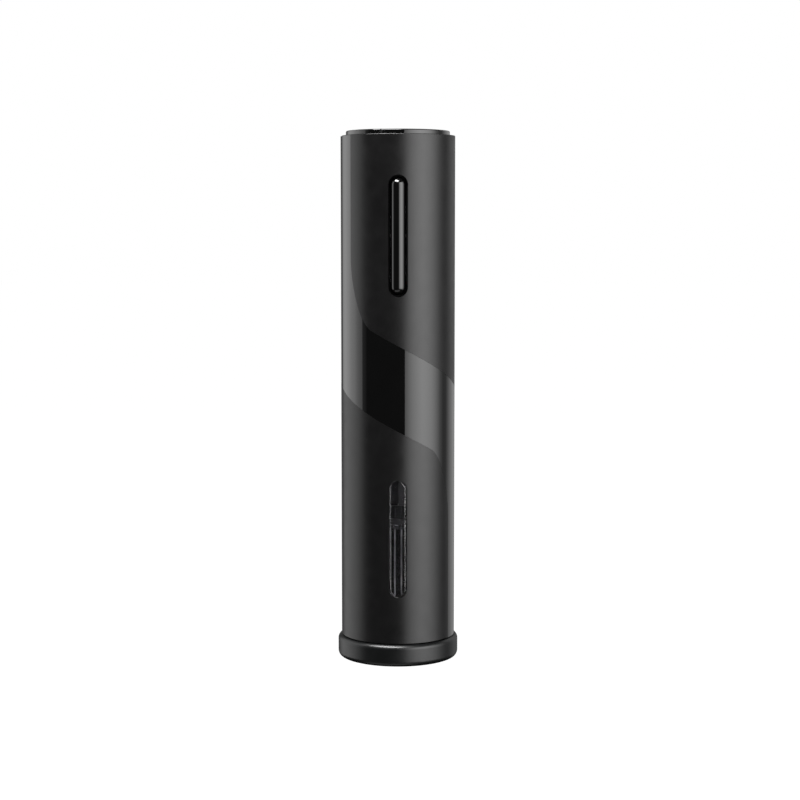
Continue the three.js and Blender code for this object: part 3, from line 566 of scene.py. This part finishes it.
def make_button():
    """A half-round bar with ball ends, on a web for the pin and two legs for the switch pad."""
    radius = (button_high[0] - button_low[0]) / 2
    half = (button_high[2] - button_low[2]) / 2
    crown = -button_low[1]
    shoulder = crown - radius
    back = 21.3 * MM
    steps = 20

    def ring_at(front, inset):
        return [(x, -front, z) for x, z in
                obround(2 * (radius - inset), pivot_z - half + inset, pivot_z + half - inset, 24)]

    rings = [ring_at(back, 0.15 * MM), ring_at(back + 0.15 * MM, 0), ring_at(shoulder, 0)]
    for k in range(1, steps):
        angle = math.pi / 2 * k / steps
        rings.append(ring_at(shoulder + radius * math.sin(angle), radius * (1 - math.cos(angle))))
    rings.append(ring_at(crown - 0.0005 * MM, radius * 0.985))
    cap = loft("rocker_cap", rings)
    finish_piece(cap, button_black, "rocker", "gloss_button", "rocker_button")
    inside = -back - 0.1 * MM
    web_half = 2.4 * MM
    pin_clearance = 0.95 * MM
    leg_reach = 17 * MM
    leg_half_width = 1.8 * MM
    leg_half_height = 1.5 * MM
    leg_back = -18.4 * MM
    web = box_piece("rocker_web", (-web_half, inside, pivot_z - pivot_half),
                    (web_half, pivot_y - pin_clearance, pivot_z + pivot_half))
    finish_piece(web, inner_black, "rocker", "gloss_button")
    for name, z in (("upper", pivot_z + leg_reach), ("lower", pivot_z - leg_reach)):
        leg = box_piece(f"rocker_leg_{name}", (-leg_half_width, inside, z - leg_half_height),
                        (leg_half_width, leg_back, z + leg_half_height))
        finish_piece(leg, inner_black, "rocker", "gloss_button")


make_bezel()
make_button()


# ---- Lid and base ----
def make_lid():
    """A disc with a skirt inside the tube, a middle boss over the contacts and a tick on its rim."""
    under = 228.75 * MM
    ceiling = 229.4 * MM
    boss = 2.8 * MM
    boss_bottom = 225.5 * MM
    skirt_inner = 20.3 * MM
    skirt_outer = 21.2 * MM
    skirt_bottom = 223.9 * MM
    lid = lathe("lid_cap", [
        (0, boss_bottom), (boss, boss_bottom), (boss, ceiling), (skirt_inner, ceiling),
        (skirt_inner, skirt_bottom), (skirt_outer, skirt_bottom), (skirt_outer, under), (lid_radius, under),
        (lid_radius, lid_top), (0, lid_top),
    ], [0, 0.3 * MM, 0.3 * MM, 0.3 * MM, 0.2 * MM, 0.2 * MM, 0.2 * MM, 0.25 * MM, 0.55 * MM, 0], FINE_ROUND)
    bake(lid)
    tick_angle = -0.33
    notch = box_piece("tick", (-0.3 * MM, -0.35 * MM, -3 * MM), (0.3 * MM, 0.35 * MM, 3 * MM), 0.1 * MM)
    bake(notch)
    notch.data.transform(Matrix.Rotation(tick_angle, 4, "Z") @ Matrix.Translation((0, -lid_radius, lid_top)))
    boolean(lid, notch, "DIFFERENCE")
    lid.data.shade_smooth()
    lid.data.set_sharp_from_angle(angle=math.radians(38))
    return finish_piece(weighted(lid), piano_black, "lid", "gloss_trim", "battery_lid")


def make_ring():
    """The foil cutter's base. Its lower edge turns in over a taller height than width."""
    edge_height = 2.35 * MM
    edge_width = 1.7 * MM
    shoulder = 2.1 * MM
    pocket = 23.3 * MM
    floor = 3 * MM
    turns = [math.pi / 2 * k / 10 for k in range(11)]
    lower_edge = [(ring_radius - edge_width * (1 - math.sin(t)), edge_height * (1 - math.cos(t)))
                  for t in turns]
    ring = lathe("cutter_base", [
        (foil_bore, 0), *lower_edge, (ring_radius, ring_height), (pocket, ring_height), (pocket, floor),
        (foil_bore, floor),
    ], [0.5 * MM, *[0] * len(lower_edge), shoulder, 0.2 * MM, 0.3 * MM, 0.4 * MM], FINE_ROUND, 8)
    return finish_piece(ring, base_black, "foil_cutter", "satin_base", "cutter_ring")


def make_cover():
    """The plate over the cutting wheels, with the collar that plugs into the tube."""
    plate_bottom = 7.2 * MM
    plate_top = 9.6 * MM
    collar_inner = 20.6 * MM
    collar_outer = 22.6 * MM
    collar_top = 15.9 * MM
    cover = lathe("cutter_plug", [
        (foil_bore, plate_bottom), (cover_radius, plate_bottom), (cover_radius, plate_top),
        (collar_outer, plate_top), (collar_outer, collar_top), (collar_inner, collar_top),
        (collar_inner, plate_top), (foil_bore, plate_top),
    ], [0.3 * MM, 0.2 * MM, 0.2 * MM, 0.2 * MM, 0.6 * MM, 0.5 * MM, 0.4 * MM, 0.3 * MM], ROUND, 4)
    return finish_piece(cover, inner_black, "foil_cutter", "inner_black", "cutter_cover")


def make_wheels():
    """Four foil-cutting discs on upright axles."""
    orbit = 18.5 * MM
    middle = 5.1 * MM
    axle = 0.9 * MM
    axle_bottom = 1.8 * MM
    axle_top = 8.4 * MM
    disc = 3.4 * MM
    blade = 4.5 * MM
    half_thick = 0.4 * MM
    for i in range(4):
        angle = TAU * i / 4
        centre = (orbit * math.cos(angle), orbit * math.sin(angle))
        wheel = lathe(f"cutting_wheel_{i + 1}", [
            (0, axle_bottom), (axle, axle_bottom), (axle, middle - half_thick), (disc, middle - half_thick),
            (blade, middle), (disc, middle + half_thick), (axle, middle + half_thick),
            (axle, axle_top), (0, axle_top),
        ], [0, 0.15 * MM, 0.1 * MM, 0.1 * MM, 0.03 * MM, 0.1 * MM, 0.1 * MM, 0.15 * MM, 0], 64, 3, centre)
        finish_piece(wheel, turned_steel, f"cutter_wheel_{i + 1}", "steel", f"cutter_wheel_{i + 1}")


make_lid()
make_ring()
make_cover()
make_wheels()


# ---- Cork path ----
def swept_wire(name, centre_line, radius_at, sides=20):
    rings = []
    count = len(centre_line)
    for i, point in enumerate(centre_line):
        ahead = centre_line[min(i + 1, count - 1)] - centre_line[max(i - 1, 0)]
        ahead.normalize()
        out = Vector((point.x, point.y, 0)).normalized()
        side = ahead.cross(out).normalized()
        out = side.cross(ahead)
        radius = radius_at(i / (count - 1))
        rings.append([point + (out * math.cos(a) + side * math.sin(a)) * radius
                      for a in (TAU * k / sides for k in range(sides))])
    return loft(name, rings, smooth_angle=60)


def make_worm():
    coil = 3.2 * MM
    wire = 1.5 * MM
    pitch = 9.6 * MM
    bottom = 21.5 * MM
    top = 103 * MM
    tip_share = 0.05
    turns = (top - bottom) / pitch
    steps = int(turns * 40)
    line = []
    for i in range(steps + 1):
        z = bottom + (top - bottom) * i / steps
        angle = TAU * (z - bottom) / pitch
        line.append(Vector((coil * math.cos(angle), coil * math.sin(angle), z)))

    def radius_at(t):
        return wire * (1 if t > tip_share else 0.06 + 0.94 * (t / tip_share) ** 0.7)

    worm = swept_wire("corkscrew", line, radius_at)
    return finish_piece(worm, worm_coating, "output", "coated_steel", "worm_spiral")


rail_x = 1.45 * MM
rail_half = 0.35 * MM


def make_guide():
    outer = 17.2 * MM
    bottom, top = guide_low[2], guide_high[2]
    guide = lathe("neck_sleeve", [
        (19.4 * MM, bottom), (rim_radius, bottom), (rim_radius, bottom + 1.6 * MM),
        (20.2 * MM, bottom + 1.6 * MM), (outer, bottom + 8 * MM), (outer, top - 1.8 * MM),
        (rim_radius, top - 1.8 * MM), (rim_radius, top), (guide_bore, top), (guide_bore, bottom + 8.6 * MM),
    ], [0.4 * MM, 0.3 * MM, 0.3 * MM, 0.4 * MM, 1 * MM, 0.4 * MM, 0.3 * MM, 0.3 * MM, 0.3 * MM, 2 * MM],
        steps=4)
    bake(guide)
    guide.data.shade_smooth()
    guide.data.set_sharp_from_angle(angle=math.radians(30))
    finish_piece(weighted(guide), guide_clear, "housing", "clear_guide", "neck_guide")
    for i in range(6):
        turn = Matrix.Rotation(TAU * i / 6 + math.pi / 6, 4, "Z")
        rib = box_piece(f"guide_rib_{i + 1}", (14.75 * MM, -0.6 * MM, bottom + 10 * MM),
                        (guide_bore - 0.05 * MM, 0.6 * MM, top - 1 * MM), 0.25 * MM)
        bake(rib)
        rib.data.transform(turn)
        finish_piece(rib, guide_clear, "housing", "clear_guide")
    for side, name in ((-1, "left"), (1, "right")):
        x = side * rail_x
        rail = box_piece(f"window_rail_{name}", (x - rail_half, -22.6 * MM, 31 * MM),
                         (x + rail_half, -17.3 * MM, 61 * MM), 0.3 * MM)
        # The rails take the pale painted-highlight colour instead of the clear guide's.
        finish_piece(rail, rail_painted_highlight, "housing", "clear_guide")


def make_chamber():
    outer = 14.6 * MM
    bottom, top = chamber_low[2], chamber_high[2]
    flange_top = 64.3 * MM
    chamber = lathe("cork_sleeve", [
        (cork_bore, bottom), (rim_radius, bottom), (rim_radius, flange_top), (outer, flange_top),
        (outer, top), (cork_bore, top),
    ], [0.8 * MM, 0.3 * MM, 0.35 * MM, 0.5 * MM, 0.2 * MM, 0.2 * MM], steps=4)
    finish_piece(chamber, chassis_grey, "housing", "chassis_grey", "cork_chamber")
    for i in range(4):
        rib = box_piece(f"cork_rib_{i + 1}", (11.95 * MM, -0.5 * MM, bottom + 2 * MM),
                        (cork_bore - 0.05 * MM, 0.5 * MM, top - 12 * MM), 0.2 * MM)
        bake(rib)
        rib.data.transform(Matrix.Rotation(TAU * i / 4 + math.pi / 4, 4, "Z"))
        finish_piece(rib, chassis_grey, "housing", "chassis_grey")
    pad_top = 70.1 * MM
    pad = box_piece("window_pad", (-2.6 * MM, -21.7 * MM, flange_top + 0.05 * MM),
                    (2.6 * MM, -14.65 * MM, pad_top), 0.4 * MM)
    finish_piece(pad, chassis_grey, "housing", "chassis_grey")
    for side, name in ((-1, "left"), (1, "right")):
        x = side * rail_x
        ridge = box_piece(f"pad_ridge_{name}", (x - rail_half, -22.4 * MM, flange_top + 0.05 * MM),
                          (x + rail_half, -21.75 * MM, pad_top), 0.3 * MM)
        finish_piece(ridge, chassis_grey, "housing", "chassis_grey")


def make_hub():
    radius = hub_high[0]
    bottom, top = hub_low[2], hub_high[2]
    socket = 3.3 * MM
    socket_floor = 105.3 * MM
    hub = lathe("spiral_hub", [
        (0, bottom), (radius, bottom), (radius, top), (socket, top), (socket, socket_floor),
        (0, socket_floor),
    ], [0, 0.9 * MM, 0.4 * MM, 0.2 * MM, 0.2 * MM, 0], 96, 5)
    finish_piece(hub, inner_black, "output", "inner_black", "worm_hub")


make_worm()
make_guide()
make_chamber()
make_hub()

# ---- Carried-over nodes: procedural finish by slot ----
slot_looks = {
    "inner_black": inner_black,
    "chassis_grey": chassis_grey,
    "gear_white": acetal,
    "steel": turned_steel,
    "screw_steel": plated_steel,
    "bronze": bronze,
    "magnet": ferrite,
    "winding": winding,
    "switch_rubber": silicone,
    "board_green": solder_mask,
    "cell_body": cell_sleeve,
    "contact_spring": plated_steel,
    "red_wire": red_insulation,
    "black_wire": black_insulation,
    "satin_body": satin_black,
    "satin_base": base_black,
    "gloss_trim": piano_black,
    "gloss_button": button_black,
    "smoked_lens": smoked_clear,
    "clear_guide": guide_clear,
    "coated_steel": worm_coating,
}
for part in frame["record"]["subparts"]:
    node = frame["nodes"][part["node"]]
    for material_slot in node.material_slots:
        material_slot.material = slot_looks[part["material_slot"]]

# ---- Floor, light and camera ----
scene = bpy.context.scene
scene.view_settings.view_transform = "Standard"
view_turn = math.radians(-0.2)


def make_floor():
    """A plain pale floor, shadowless, just under the 30 mm travel of the foil cutter."""
    half = 6.0
    z = -30.5 * MM
    corners = [(-half, -half, z), (half, -half, z), (half, half, z), (-half, half, z)]
    floor = mesh_object("floor", corners, [[0, 1, 2, 3]])
    material, tree, shader = node_material("pale_floor")
    colour = tinted(tree, noise(tree, 3, 2), (0.02, 0.02, 0.02), (0.03, 0.03, 0.03))
    tree.links.new(colour, shader.inputs["Base Color"])
    shader.inputs["Roughness"].default_value = 1
    shader.inputs["Specular IOR Level"].default_value = 0
    shader.inputs["Emission Color"].default_value = (1, 1, 1, 1)
    shader.inputs["Emission Strength"].default_value = 1
    floor.data.materials.append(material)
    floor.visible_glossy = False
    floor.visible_diffuse = False
    floor.visible_transmission = False
    floor.visible_shadow = False


def glow_panel(name, bottom, top, rise, levels):
    """An upright curved light panel. levels: (degrees round from the front, brightness).
    rise: how the brightness is scaled at the bottom and at the top.
    """
    radius = 1.3
    start = levels[0][0]
    end = levels[-1][0]
    columns = 64
    points = []
    for k in range(columns + 1):
        angle = math.radians(start + (end - start) * k / columns) + view_turn
        for z in (bottom, top):
            points.append((radius * math.sin(angle), -radius * math.cos(angle), z))
    faces = [[2 * k, 2 * k + 1, 2 * k + 3, 2 * k + 2] for k in range(columns)]
    panel = mesh_object(name, points, faces)
    layer = panel.data.uv_layers.new(name="along")
    for polygon in panel.data.polygons:
        for loop in polygon.loop_indices:
            vertex = panel.data.loops[loop].vertex_index
            layer.data[loop].uv = (vertex // 2 / columns, vertex % 2)
    material = bpy.data.materials.new(name)
    material.use_nodes = True
    tree = material.node_tree
    tree.nodes.clear()
    output = tree.nodes.new("ShaderNodeOutputMaterial")
    glow = tree.nodes.new("ShaderNodeEmission")
    ramp = tree.nodes.new("ShaderNodeValToRGB")
    place = tree.nodes.new("ShaderNodeUVMap")
    split = tree.nodes.new("ShaderNodeSeparateXYZ")
    place.uv_map = "along"
    elements = ramp.color_ramp.elements
    brightest = max(level for _, level in levels)
    elements[0].position, elements[1].position = 0, 1
    for index, (degrees, level) in enumerate(levels):
        share = (degrees - start) / (end - start)
        last = index == len(levels) - 1
        element = elements[0] if index == 0 else elements[-1] if last else elements.new(share)
        element.color = (level / brightest, level / brightest, level / brightest, 1)
    tree.links.new(ranged(tree, split.outputs["Y"], brightest * rise[0], brightest * rise[1], 0.1, 0.55),
                   glow.inputs["Strength"])
    tree.links.new(place.outputs["UV"], split.inputs["Vector"])
    tree.links.new(split.outputs["X"], ramp.inputs["Fac"])
    tree.links.new(ramp.outputs["Color"], glow.inputs["Color"])
    tree.links.new(glow.outputs["Emission"], output.inputs["Surface"])
    panel.data.materials.append(material)
    panel.visible_camera = False


def make_world():
    """White behind the object, and a dim even fill light on it."""
    fill = 0.042
    world = bpy.data.worlds.new("studio")
    scene.world = world
    world.use_nodes = True
    tree = world.node_tree
    tree.nodes.clear()
    output = tree.nodes.new("ShaderNodeOutputWorld")
    seen = tree.nodes.new("ShaderNodeBackground")
    unseen = tree.nodes.new("ShaderNodeBackground")
    mix = tree.nodes.new("ShaderNodeMixShader")
    path = tree.nodes.new("ShaderNodeLightPath")
    seen.inputs["Color"].default_value = (1, 1, 1, 1)
    seen.inputs["Strength"].default_value = 1
    unseen.inputs["Color"].default_value = (1, 1, 1, 1)
    unseen.inputs["Strength"].default_value = fill
    tree.links.new(path.outputs["Is Camera Ray"], mix.inputs["Fac"])
    tree.links.new(unseen.outputs["Background"], mix.inputs[1])
    tree.links.new(seen.outputs["Background"], mix.inputs[2])
    tree.links.new(mix.outputs["Shader"], output.inputs["Surface"])


def area_light(name, place, target, size, power):
    data = bpy.data.lights.new(name, "AREA")
    data.shape = "RECTANGLE"
    data.size, data.size_y = size
    data.energy = power
    light = bpy.data.objects.new(name, data)
    scene.collection.objects.link(light)
    light.location = place
    light.rotation_euler = (Vector(target) - Vector(place)).to_track_quat("-Z", "Y").to_euler()


def make_camera():
    distance = 0.7999
    height = 0.19093
    pitch = 0.096
    yaw = 0.00115
    data = bpy.data.cameras.new("camera")
    data.sensor_width = 36
    data.lens = 81.84
    camera = bpy.data.objects.new("camera", data)
    scene.collection.objects.link(camera)
    camera.location = (distance * math.sin(view_turn), -distance * math.cos(view_turn), height)
    camera.rotation_euler = (math.pi / 2 - pitch, 0, view_turn - yaw)
    scene.camera = camera


make_floor()
make_world()
glow_panel("right_panel", -0.5, 1.1, (0.82, 1.25), [
    (14, 1.8), (17, 2.0), (23, 2.9), (30, 3.7), (36, 4.2), (42, 4.65), (49, 5.05), (56, 4.9),
    (63, 4.5), (70, 4.0), (77.5, 3.1), (85.6, 2.0), (94, 0.9), (103, 0.35), (112, 0.3), (120, 0.6),
    (128, 0.85), (141, 0.85), (150, 0.75), (160, 0.5), (170, 0.25), (180, 0.15),
])
glow_panel("left_panel", -0.5, 1.1, (1, 1), [
    (-180, 0.15), (-163, 0.3), (-157, 0.12), (-151, 0.12), (-145, 0.9), (-138, 1.3), (-130, 1.8),
    (-117, 2.2), (-97, 2.2), (-88, 1.65), (-80, 1.3), (-76.5, 1.2), (-75.5, 0.3), (-68, 0.15), (-64, 0.03),
])
area_light("top_light", (-0.31, -0.42, 1.2), (0, 0, 0.1), (1.0, 0.5), 52)
area_light("low_light", (-0.2, -0.5, -0.9), (0, 0, 0.05), (1.6, 0.6), 2.5)
make_camera()
